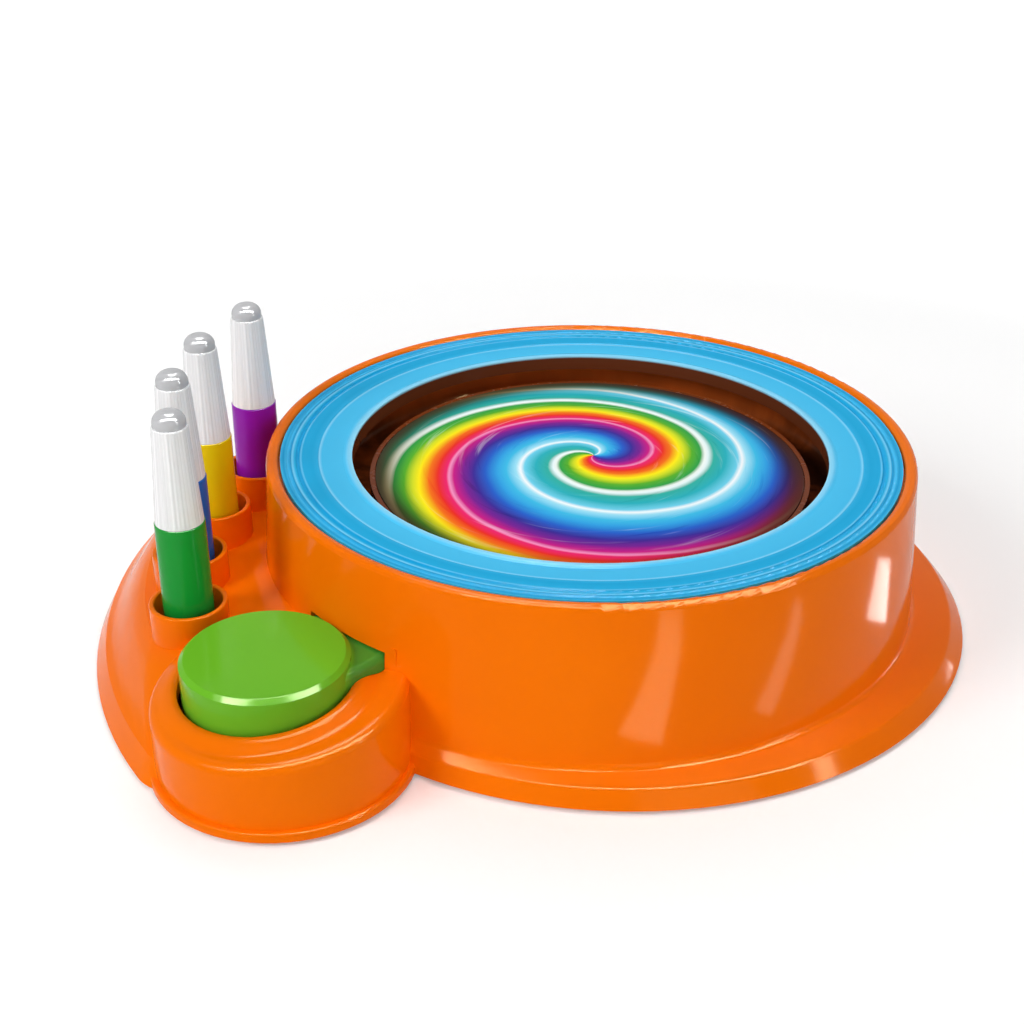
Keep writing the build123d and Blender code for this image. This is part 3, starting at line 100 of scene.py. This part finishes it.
class Finish:
    # one material and the nodes that make it

    def __init__(self, name, **sockets):
        self.material = bpy.data.materials.new(name)
        self.material.use_nodes = True
        self.tree = self.material.node_tree
        self.shader = self.tree.nodes["Principled BSDF"]
        self.place = self.node("ShaderNodeTexCoord", output="Object")
        self.set(**sockets)

    def node(self, kind, settings=None, values=None, output=0):
        made = self.tree.nodes.new(kind)
        for key, value in (settings or {}).items():
            setattr(made, key, value)
        for key, value in (values or {}).items():
            self.join(made.inputs[key], value)
        return Number(self, made.outputs[output])

    def join(self, socket, value):
        if isinstance(value, Number):
            self.tree.links.new(value.socket, socket)
        else:
            socket.default_value = value

    def set(self, **sockets):
        for name, value in sockets.items():
            self.join(self.shader.inputs[name.replace("_", " ")], value)

    def axes(self):
        # x, y and z of the place being shaded, each as a number
        split = self.tree.nodes.new("ShaderNodeSeparateXYZ")
        self.join(split.inputs[0], self.place)
        return [Number(self, socket) for socket in split.outputs]

    def vector(self, x, y, z):
        return self.node("ShaderNodeCombineXYZ", values={0: x, 1: y, 2: z})

    def noise(self, scale, detail, place=None, roughness=0.5):
        values = {"Scale": scale, "Detail": detail, "Roughness": roughness}
        return self.node("ShaderNodeTexNoise", values={"Vector": place or self.place, **values})

    def ramp(self, stops, along):
        made = self.node("ShaderNodeValToRGB", values={0: along})
        elements = made.socket.node.color_ramp.elements
        while len(elements) < len(stops):
            elements.new(1.0)
        for element, (position, colour) in zip(elements, stops):
            element.position = position
            element.color = colour
        return made

    def mix(self, share, first, second, blend="MIX"):
        settings = {"data_type": "RGBA", "blend_type": blend, "clamp_factor": True}
        return self.node("ShaderNodeMix", settings, {0: share, 6: first, 7: second}, 2)

    def bump(self, height, strength, distance):
        values = {"Strength": strength, "Distance": distance, "Height": height}
        self.set(Normal=self.node("ShaderNodeBump", values=values))


def reachOf(x, y):
    # distance from the upright axis where x and y are 0
    return (x * x + y * y).run("SQRT")


def dress(finish, *names):
    for name in names:
        mesh = nodes[name].data
        mesh.materials.clear()
        mesh.materials.append(finish.material)


plastic = {
    "ior": 1.28,
    "roughness": 0.11,
    "gloss": 0.34,
    "glint": (1.0, 1.0, 1.0, 1.0),
    # fine handling marks
    "markScale": 420.0,
    "markDetail": 4.0,
    "markFrom": (0.5, 0.72),
    "wear": 0.05,
    # a slow drift towards a second tone
    "driftScale": 14.0,
    "driftDetail": 2.0,
    "driftFrom": (0.35, 0.7),
    "drift": 0.3,
    # a faint ripple, with its strength and depth
    "rippleScale": 180.0,
    "rippleDetail": 1.0,
    "ripple": (0.04, 0.3 * mm),
}


def plasticFinish(name, **look):
    # glossy plastic with handling marks, before it has a colour
    look = {**plastic, **look}
    finish = Finish(name)
    finish.shader.inputs["IOR"].default_value = look["ior"]
    finish.shader.inputs["Specular IOR Level"].default_value = look["gloss"]
    finish.shader.inputs["Specular Tint"].default_value = look["glint"]
    marks = finish.noise(look["markScale"], look["markDetail"]).between(*look["markFrom"])
    finish.set(Roughness=marks * look["wear"] + look["roughness"])
    return finish


def mouldedFinish(name, colour, shade, **look):
    # the same plastic with a drifting tone and a faint ripple
    finish = plasticFinish(name, **look)
    drift = finish.noise(plastic["driftScale"], plastic["driftDetail"])
    drift = drift.between(*plastic["driftFrom"]) * plastic["drift"]
    finish.colour = finish.mix(drift, colour, shade)
    finish.set(Base_Color=finish.colour)
    finish.bump(finish.noise(plastic["rippleScale"], plastic["rippleDetail"]), *plastic["ripple"])
    return finish


housing = {
    "colour": linear(237, 112, 2),
    "shade": linear(224, 94, 0),
    "glint": (1.0, 0.74, 0.36, 1.0),
    "gloss": 0.22,
    # where the well's painted shade and paint stain begin and end, and how soon
    "wellWide": 87 * mm,
    "wellWall": 1 * mm,
    "wellTop": 55.6 * mm,
    "wellTopFade": 1.5 * mm,
    "wellBottom": 36 * mm,
    "wellBottomFade": 1 * mm,
    # inside the well the orange is painted dark as shade, with paint flung outward in streaks that
    # stand upright
    "wellShadeAndPaint": linear(60, 28, 14),
    "wellShadeAndPaintLight": linear(150, 68, 26),
    "splashScale": 60.0,
    "splashDetail": 4.0,
    "splashStretch": 0.3,
    "splashFrom": (0.42, 0.66),
    # the far side of the well is painted lighter, as painted light where more light falls
    "farSideLit": linear(196, 92, 34),
    "farSideLitShare": 0.7,
    "farSideLitFrom": (20 * mm, 84 * mm),
}


def housingFinish():
    # orange plastic, painted dark inside the well as shade and paint stain, and lighter on its far
    # side as painted light
    look = {key: housing[key] for key in ("colour", "shade", "gloss", "glint")}
    finish = mouldedFinish("orangePlastic", **look)
    x, y, z = finish.axes()
    wide, top, bottom = housing["wellWide"], housing["wellTop"], housing["wellBottom"]
    # the well's mask: painted shade in this recess, with a paint stain over it
    inWell = reachOf(x, y).between(wide + housing["wellWall"], wide)
    inWell = inWell * z.between(top, top - housing["wellTopFade"])
    inWell = inWell * z.between(bottom - housing["wellBottomFade"], bottom)
    upright = finish.vector(x, y, z * housing["splashStretch"])
    flung = finish.noise(housing["splashScale"], housing["splashDetail"], upright)
    # dark brown in upright streaks: painted shade with flung paint
    shadeAndStain = finish.mix(
        flung.between(*housing["splashFrom"]), housing["wellShadeAndPaint"], housing["wellShadeAndPaintLight"]
    )
    # painted light on the well's far side
    far = y.between(*housing["farSideLitFrom"]) * housing["farSideLitShare"]
    shadeAndStain = finish.mix(far, shadeAndStain, housing["farSideLit"])
    finish.set(Base_Color=finish.mix(inWell, finish.colour, shadeAndStain))
    return finish


basePlate = {
    "colour": linear(226, 98, 8),
    "shade": linear(214, 86, 4),
    "roughness": 0.4,
    "gloss": 0.2,
    "glint": housing["glint"],
}

# the platter's orange is painted down to brown, as shade inside the well
platter = {
    "colour": linear(120, 54, 16),
    "shade": linear(84, 36, 14),
    "roughness": 0.25,
    "gloss": 0.25,
}

paddle = {
    "colour": linear(106, 180, 36),
    "shade": linear(84, 162, 34),
    "glint": (0.9, 1.0, 0.62, 1.0),
    # the round pad, and the neck beyond it painted darker as shade
    "middle": (-91.5 * mm, -85.84 * mm),
    "neckFrom": (22.9 * mm, 24.9 * mm),
    "neck": linear(70, 142, 46),
}


def paddleFinish():
    finish = mouldedFinish("greenPlastic", paddle["colour"], paddle["shade"], glint=paddle["glint"])
    x, y, z = finish.axes()
    middleX, middleY = paddle["middle"]
    # the neck is painted darker, as shade
    onNeck = reachOf(x - middleX, y - middleY).between(*paddle["neckFrom"])
    finish.set(Base_Color=finish.mix(onNeck, finish.colour, paddle["neck"]))
    return finish


dress(housingFinish(), "upper_housing")
dress(mouldedFinish("basePlastic", **basePlate), "base_plate")
dress(mouldedFinish("platterPlastic", **platter), "platter")
dress(paddleFinish(), "press_paddle")
print("moulded plastic ready")

splashRing = {
    "roughness": 0.16,
    "gloss": 0.12,
    "glint": (0.8, 0.95, 1.0, 1.0),
    "bore": 74 * mm,
    "edge": 96 * mm,
    # the drawn lip below the bore is painted brown as shade: where this begins, inwards and down
    "skirtWide": (75.2 * mm, 74.4 * mm),
    "skirtTop": (56.2 * mm, 55.4 * mm),
    "skirtShade": linear(96, 46, 24),
    "grooves": 9000.0,
    "grooveRelief": (0.03, 0.2 * mm),
    "wanderScale": 9.0,
    "wanderDetail": 1.0,
    "wander": 0.02,
    # bands of light and deep blue, as shares of the way from bore to edge: the pale lines are
    # painted highlights on the lip, the step and the grooves, and the deep lines beside them
    # painted shade
    "bands": [
        (0.00, linear(150, 218, 246)),
        (0.06, linear(120, 206, 242)),
        (0.10, linear(72, 190, 236)),
        (0.42, linear(66, 186, 234)),
        (0.455, linear(132, 210, 244)),
        (0.47, linear(40, 172, 222)),
        (0.56, linear(20, 164, 216)),
        (0.69, linear(26, 168, 220)),
        (0.71, linear(104, 200, 240)),
        (0.73, linear(16, 156, 210)),
        (0.80, linear(34, 174, 224)),
        (0.83, linear(120, 208, 244)),
        (0.85, linear(10, 146, 202)),
        (0.90, linear(70, 190, 234)),
        (0.95, linear(16, 150, 206)),
        (1.00, linear(60, 184, 230)),
    ],
}


def ringFinish():
    look = {key: splashRing[key] for key in ("roughness", "gloss", "glint")}
    finish = plasticFinish("ringPlastic", **look)
    x, y, z = finish.axes()
    reach = reachOf(x, y)
    across = (reach - splashRing["bore"]) / (splashRing["edge"] - splashRing["bore"])
    wander = finish.noise(splashRing["wanderScale"], splashRing["wanderDetail"]) - 0.5
    # the ring's blue, with painted highlights and painted shade along its lip, step and grooves
    bands = finish.ramp(splashRing["bands"], across + wander * splashRing["wander"])
    # painted shade on the drawn lip below the bore
    skirt = z.between(*splashRing["skirtTop"]) * reach.between(*splashRing["skirtWide"])
    finish.set(Base_Color=finish.mix(skirt, bands, splashRing["skirtShade"]))
    finish.bump((reach * splashRing["grooves"]).run("SINE"), *splashRing["grooveRelief"])
    return finish


dress(ringFinish(), "splash_ring")
print("splash ring ready")

swirl = {
    "wide": 67 * mm,
    "ior": 1.28,
    "gloss": 0.1,
    "roughness": 0.14,
    "streakRoughness": 0.2,
    "relief": (0.2, 0.3 * mm),
    # the spiral's own middle stands off the card's, less and less towards the edge
    "middle": (2 * mm, 9 * mm),
    "middleFades": (1.1, 0.0),
    "pitch": 0.78,
    "waviness": 0.05,
    "driftScale": 24.0,
    "driftDetail": 2.0,
    # how quickly the streaks change across the spiral, and how little along it
    "across": 11.0,
    "along": 0.5,
    "streakDetail": 3.0,
    "streakHarshness": 0.6,
    # pale streaks painted in as highlights on the wet paint
    "paleScale": 1.9,
    "paleFrom": (0.58, 0.8),
    "paleShare": 0.3,
    "paleBegins": (0.25, 0.5),
    "paintedHighlight": linear(250, 252, 255),
    "deepScale": 2.6,
    "deepFrom": (0.56, 0.76),
    "deepShare": 0.4,
    # towards its edge the card is darkened to olive, partly the paint's own olive and partly
    # painted shade, and then to dark brown as painted shade under the ring
    "oliveShadeFrom": (0.84, 0.97),
    "oliveShadeShare": 0.85,
    "oliveShade": linear(150, 128, 10),
    "rimShadeFrom": (0.9, 1.0),
    "rimShadeShare": 0.85,
    "rimShadeWander": 0.06,
    "rimShade": linear(66, 36, 10),
    # the hues along one turn; the near-white stops are painted highlights along the arcs
    "bands": [
        (0.00, linear(60, 190, 232)),
        (0.06, linear(44, 160, 226)),
        (0.13, linear(32, 92, 200)),
        (0.20, linear(56, 36, 150)),
        (0.26, linear(120, 24, 146)),
        (0.32, linear(206, 18, 132)),
        (0.345, linear(246, 150, 196)),
        (0.36, linear(236, 28, 110)),
        (0.41, linear(238, 40, 24)),
        (0.46, linear(246, 116, 6)),
        (0.515, linear(255, 236, 4)),
        (0.55, linear(214, 224, 30)),
        (0.60, linear(86, 178, 36)),
        (0.66, linear(40, 160, 70)),
        (0.685, linear(240, 250, 244)),
        (0.705, linear(236, 250, 250)),
        (0.74, linear(48, 176, 160)),
        (0.82, linear(36, 176, 190)),
        (0.89, linear(110, 210, 236)),
        (0.915, linear(250, 253, 255)),
        (0.94, linear(160, 226, 246)),
        (1.00, linear(60, 190, 232)),
    ],
}


def swirlFinish():
    # wet paint flung into one spiral: the hue follows distance and angle, and streaks run along it
    finish = Finish("swirledPaint")
    finish.shader.inputs["IOR"].default_value = swirl["ior"]
    finish.shader.inputs["Specular IOR Level"].default_value = swirl["gloss"]
    cardX, cardY, cardZ = finish.axes()
    fromMiddle = reachOf(cardX, cardY) / swirl["wide"]
    pull = fromMiddle.between(*swirl["middleFades"])
    middleX, middleY = swirl["middle"]
    x, y = cardX - pull * middleX, cardY - pull * middleY
    angle = y.run("ARCTAN2", x)
    turn = angle / math.tau
    drift = finish.noise(swirl["driftScale"], swirl["driftDetail"]) - 0.5
    phase = reachOf(x, y) / swirl["wide"] / swirl["pitch"] - turn + drift * swirl["waviness"]
    hue = finish.ramp(swirl["bands"], phase.run("FRACT"))

    # the noise behind the streaks runs round with the spiral
    across, along = swirl["across"], swirl["along"]
    spun = finish.vector(
        (phase + turn) * across, angle.run("SINE") * along, angle.run("COSINE") * along
    )
    detail, harshness = swirl["streakDetail"], swirl["streakHarshness"]
    streaks = finish.noise(swirl["paleScale"], detail, spun, harshness)
    # pale streaks painted in as highlights
    paintedHighlight = streaks.between(*swirl["paleFrom"]) * swirl["paleShare"]
    paint = finish.mix(paintedHighlight * fromMiddle.between(*swirl["paleBegins"]), hue, swirl["paintedHighlight"])
    deep = finish.noise(swirl["deepScale"], detail, spun, harshness)
    deep = deep.between(*swirl["deepFrom"]) * swirl["deepShare"]
    paint = finish.mix(deep, paint, paint, "MULTIPLY")

    # painted shade towards the card's edge, over the paint's olive
    oliveShade = fromMiddle.between(*swirl["oliveShadeFrom"]) * swirl["oliveShadeShare"]
    paint = finish.mix(oliveShade, paint, swirl["oliveShade"], "MULTIPLY")
    rimShade = (fromMiddle + drift * swirl["rimShadeWander"]).between(*swirl["rimShadeFrom"])
    paint = finish.mix(rimShade * swirl["rimShadeShare"], paint, swirl["rimShade"])
    finish.set(
        Base_Color=paint, Roughness=streaks * swirl["streakRoughness"] + swirl["roughness"]
    )
    finish.bump(streaks, *swirl["relief"])
    return finish


dress(swirlFinish(), "paint_card")
print("painted card ready")

pens = {
    "colours": {
        "green": (linear(10, 138, 48), linear(44, 162, 40)),
        "blue": (linear(14, 84, 184), linear(20, 130, 206)),
        "yellow": (linear(226, 196, 8), linear(236, 214, 30)),
        "purple": (linear(138, 20, 168), linear(158, 44, 180)),
    },
    "cap": {"roughness": 0.14, "gloss": 0.45},
    "plug": {
        "colour": linear(188, 188, 190),
        "shade": linear(160, 162, 164),
        "roughness": 0.08,
        "gloss": 0.8,
    },
    "felt": {"roughness": 0.9, "gloss": 0.0},
}

barrel = {
    "colour": linear(240, 240, 241),
    "shade": linear(214, 214, 215),
    "roughness": 0.2,
    "ribs": 36.0,
    "ribShare": 0.12,
    "ribRelief": (0.25, 0.4 * mm),
    # tall soft streaks
    "streakScale": 1.4,
    "streakDetail": 2.0,
    "streakRound": 3.0,
    "streakUp": 4.0,
    "streakFrom": (0.4, 0.62),
    "streakShare": 0.6,
}


def barrelFinish(name, node):
    # fine ribs up the side of one pen, counted round its own axis
    finish = plasticFinish(name, roughness=barrel["roughness"])
    low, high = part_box(node)
    x, y, z = finish.axes()
    angle = (y - (low[1] + high[1]) / 2).run("ARCTAN2", x - (low[0] + high[0]) / 2)
    ribs = (angle * barrel["ribs"]).wave()
    tall = finish.vector(angle * barrel["streakRound"], z * barrel["streakUp"], 0.0)
    streak = finish.noise(barrel["streakScale"], barrel["streakDetail"], tall)
    streak = streak.between(*barrel["streakFrom"]) * barrel["streakShare"]
    tone = finish.mix(streak, barrel["colour"], barrel["shade"])
    finish.set(Base_Color=finish.mix(ribs * barrel["ribShare"], tone, barrel["shade"]))
    finish.bump(ribs, *barrel["ribRelief"])
    return finish


for colour, (base, tint) in pens["colours"].items():
    pen = colour + "_pen_"
    dress(mouldedFinish(colour + "Cap", base, tint, **pens["cap"]), pen + "cap")
    dress(barrelFinish(colour + "Barrel", pen + "barrel"), pen + "barrel")
    dress(mouldedFinish(colour + "Plug", **pens["plug"]), pen + "end_plug")
    felt = mouldedFinish(colour + "Felt", base, tint, **pens["felt"])
    dress(felt, pen + "nib", pen + "reservoir")
print("pens ready")

metal = {
    "zinc": {"colour": linear(196, 198, 200), "roughness": 0.24},
    "spring": {"colour": linear(150, 152, 156), "roughness": 0.3},
    "brass": {"colour": linear(202, 164, 90), "roughness": 0.3},
    # fine lines that run round, and so change quickly with height
    "acrossLines": 60.0,
    "upLines": 2600.0,
    "lineScale": 1.0,
    "lineDetail": 3.0,
    "lineShare": 0.3,
    "lineTone": 0.6,
    "lineRoughness": 0.16,
    "relief": (0.15, 0.2 * mm),
}


def turnedMetal(name, colour, roughness):
    # machined metal with a slightly uneven polish
    finish = Finish(name, Metallic=1.0)
    x, y, z = finish.axes()
    across = metal["acrossLines"]
    turned = finish.vector(x * across, y * across, z * metal["upLines"])
    lines = finish.noise(metal["lineScale"], metal["lineDetail"], turned)
    darker = (*[part * metal["lineTone"] for part in colour[:3]], 1.0)
    finish.set(
        Base_Color=finish.mix(lines * metal["lineShare"], colour, darker),
        Roughness=lines * metal["lineRoughness"] + roughness,
    )
    finish.bump(lines, *metal["relief"])
    return finish


innerPlastics = {
    "footRubber": {
        "colour": linear(34, 34, 35),
        "shade": linear(24, 24, 25),
        "roughness": 0.7,
        "gloss": 0.1,
    },
    "acetalWhite": {
        "colour": linear(232, 230, 222),
        "shade": linear(220, 218, 208),
        "roughness": 0.42,
        "gloss": 0.3,
    },
    "acetalBlack": {
        "colour": linear(30, 30, 32),
        "shade": linear(22, 22, 24),
        "roughness": 0.4,
        "gloss": 0.3,
    },
}
rubber, acetalWhite, acetalBlack = [
    mouldedFinish(name, **look) for name, look in innerPlastics.items()
]
zincSteel = turnedMetal("zincSteel", **metal["zinc"])
springSteel = turnedMetal("springSteel", **metal["spring"])
bushBrass = turnedMetal("bushBrass", **metal["brass"])
dress(rubber, "rubber_feet")
dress(zincSteel, "hinge_pin", "mechanism_screws", "gear_axle", "freewheel_rollers", "spindle")
dress(zincSteel, "flywheel", "platter_screw", "base_screws")
dress(springSteel, "axle_clip", "flywheel_clip", "return_spring")
dress(acetalWhite, "rack_slide", "compound_gear", "drive_pinion")
dress(acetalBlack, "rack_keeper", "gear_bridge", "freewheel_cup")
dress(bushBrass, "lower_bush", "upper_bush", "thrust_washer")

evenShading = {
    "outside": ["upper_housing", "splash_ring", "press_paddle", "base_plate"],
    "insideTheWell": ["platter", "paint_card"],
    "weight": 90,
    "threshold": 0.02,
}
# large faces lead the shading, so that long thin ones beside them don't show
for name in evenShading["outside"] + evenShading["insideTheWell"]:
    shading = nodes[name].modifiers.new("evenShading", "WEIGHTED_NORMAL")
    shading.weight = evenShading["weight"]
    shading.thresh = evenShading["threshold"]
print("inner parts ready")

returnSpring = {
    "wire": 0.6 * mm,
    "wireSides": 10,
    "stepsPerTurn": 40,
    "flatTurns": 1,
    "openTurns": 4,
    # doubled corners closer than this share of the wire are merged
    "mergeShare": 0.01,
    # how much of its height is left with the paddle down
    "keep": 0.59,
}


def makeSpring():
    # a ring of wire carried round the spring's axis, with closed flat turns at both ends
    low, high = [Vector(corner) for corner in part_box("return_spring")]
    wire, sides = returnSpring["wire"], returnSpring["wireSides"]
    axis = Vector(((low.x + high.x) / 2, (low.y + high.y) / 2, low.z + wire))
    coilWide = (high.x - low.x) / 2 - wire
    start = Matrix.Translation(axis + Vector((coilWide, 0, 0)))
    start = start @ Matrix.Rotation(math.pi / 2, 4, "X")
    build = bmesh.new()
    bmesh.ops.create_circle(build, segments=sides, radius=wire, cap_ends=True, matrix=start)
    end = [face for face in build.faces if len(face.verts) == sides]
    flat = (returnSpring["flatTurns"], 2 * wire * returnSpring["flatTurns"])
    openRise = (high.z - low.z) - 2 * wire - 2 * flat[1]
    for turns, rise in (flat, (returnSpring["openTurns"], openRise), flat):
        steps = returnSpring["stepsPerTurn"] * turns
        spun = bmesh.ops.spin(
            build,
            geom=end,
            cent=axis,
            axis=(0, 0, 1),
            dvec=(0, 0, rise / steps),
            angle=math.tau * turns,
            steps=steps,
        )
        end = [item for item in spun["geom_last"] if isinstance(item, bmesh.types.BMFace)]
    bmesh.ops.remove_doubles(build, verts=build.verts, dist=wire * returnSpring["mergeShare"])
    bmesh.ops.recalc_face_normals(build, faces=build.faces)
    for face in build.faces:
        face.smooth = len(face.verts) == 4
    mesh = bpy.data.meshes.new("springCoil")
    build.to_mesh(mesh)
    build.free()
    mesh.materials.append(springSteel.material)
    coil = bpy.data.objects.new("springCoil", mesh)
    bpy.context.scene.collection.objects.link(coil)
    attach(coil, "housing")
    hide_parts("return_spring")
    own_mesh(coil)


makeSpring()
print("return spring ready")

studio = {
    "floorSize": 6.0,
    "floorColour": (0.86, 0.86, 0.86, 1.0),
    "floorRoughness": 0.9,
    # the paper glows a little near the machine, and wholly from the second distance on
    "floorGlow": 0.18,
    "fade": (0.3, 0.6),
    "ambient": 0.42,
    "mirrored": 0.62,
    "cameraPlace": (-24.2 * mm, -454.8 * mm, 273.5 * mm),
    "cameraTilt": 90 - 27.87,
    "lens": 56.57,
    "sensor": 36.0,
    "clip": (0.01, 20.0),
    # name, place, place it faces, width, height, watts, turn about its own axis
    "lamps": [
        ("keyLeft", (-0.9, -0.6, 0.8), (0, 0, 0.03), 0.45, 0.6, 8.0, 0),
        ("frontFill", (0.5, -1.2, 0.4), (0, 0, 0.03), 0.8, 0.6, 4.0, 0),
        ("topSoft", (0.1, 0.5, 1.3), (0, 0, 0.03), 1.2, 1.2, 7.0, 0),
    ],
    # these show in the gloss alone
    "glints": [
        ("edgeFront", (0.1, -0.5, 1.1), (0, 0, 0.03), 2.4, 0.4, 200.0, 0),
        ("edgeRight", (0.9, -0.5, 0.5), (0, 0, 0.03), 0.12, 0.8, 12.0, 0),
        ("flangeSheen", (-0.12, 0.36, 1.2), (0, 0, 0.03), 0.6, 0.6, 34.0, 0),
        ("wallStreak", (0.044, -0.17, 0.002), (0.044, -0.17, 1.0), 0.02, 0.093, 0.085, -34),
        ("wallStreakRight", (0.113, -0.115, 0.002), (0.113, -0.115, 1.0), 0.01, 0.08, 0.018, -84),
        ("wallEdge", (0.15, -0.028, 0.002), (0.15, -0.028, 1.0), 0.02, 0.046, 0.03, 54),
    ],
}


def makeFloor():
    grid = bmesh.new()
    bmesh.ops.create_grid(grid, x_segments=1, y_segments=1, size=studio["floorSize"] / 2)
    mesh = bpy.data.meshes.new("studioFloor")
    grid.to_mesh(mesh)
    grid.free()
    floor = bpy.data.objects.new("studioFloor", mesh)
    bpy.context.scene.collection.objects.link(floor)
    finish = Finish(
        "floorPaper", Roughness=studio["floorRoughness"], Base_Color=studio["floorColour"]
    )
    finish.shader.inputs["Specular IOR Level"].default_value = 0.0
    finish.shader.inputs["Emission Strength"].default_value = 1.0
    toCamera = finish.node("ShaderNodeLightPath", output="Is Camera Ray")
    x, y, z = finish.axes()
    least = studio["floorGlow"]
    glow = reachOf(x, y).between(*studio["fade"]) * (1.0 - least) + least
    finish.set(Emission_Color=finish.mix(toCamera * glow, (0, 0, 0, 1), (1, 1, 1, 1)))
    mesh.materials.append(finish.material)


def makeLamp(name, place, faces, wide, tall, power, turn, glossOnly):
    data = bpy.data.lights.new(name, "AREA")
    data.shape = "RECTANGLE"
    data.size, data.size_y, data.energy = wide, tall, power
    lamp = bpy.data.objects.new(name, data)
    bpy.context.scene.collection.objects.link(lamp)
    lamp.location = place
    aim = (Vector(faces) - Vector(place)).to_track_quat("-Z", "Y").to_matrix().to_4x4()
    lamp.rotation_euler = (aim @ Matrix.Rotation(math.radians(turn), 4, "Z")).to_euler()
    lamp.visible_camera = False
    lamp.visible_diffuse = not glossOnly


def makeWorld():
    # white to the camera and through clear parts, a little less in the gloss, and dim as a light
    world = bpy.data.worlds.new("studioWorld")
    bpy.context.scene.world = world
    world.use_nodes = True
    tree = world.node_tree
    path = tree.nodes.new("ShaderNodeLightPath")
    background = tree.nodes["Background"]
    background.inputs["Color"].default_value = (1, 1, 1, 1)
    brightness = {"Camera": 1.0, "Glossy": studio["mirrored"], "Transmission": 1.0}
    strength = None
    for kind, white in brightness.items():
        scaled = tree.nodes.new("ShaderNodeMath")
        scaled.operation = "MULTIPLY"
        scaled.inputs[1].default_value = white
        tree.links.new(path.outputs[f"Is {kind} Ray"], scaled.inputs[0])
        larger = tree.nodes.new("ShaderNodeMath")
        larger.operation = "MAXIMUM"
        larger.inputs[1].default_value = studio["ambient"]
        tree.links.new(scaled.outputs[0], larger.inputs[0])
        if strength:
            tree.links.new(strength, larger.inputs[1])
        strength = larger.outputs[0]
    tree.links.new(strength, background.inputs["Strength"])


def makeCamera():
    data = bpy.data.cameras.new("photoView")
    data.lens = studio["lens"]
    data.sensor_width = studio["sensor"]
    data.clip_start, data.clip_end = studio["clip"]
    camera = bpy.data.objects.new("photoView", data)
    bpy.context.scene.collection.objects.link(camera)
    camera.location = studio["cameraPlace"]
    camera.rotation_euler = (math.radians(studio["cameraTilt"]), 0, 0)
    bpy.context.scene.camera = camera


makeFloor()
for lamp in studio["lamps"]:
    makeLamp(*lamp, glossOnly=False)
for glint in studio["glints"]:
    makeLamp(*glint, glossOnly=True)
makeWorld()
makeCamera()
bpy.context.scene.view_settings.view_transform = "Standard"
print("studio ready")
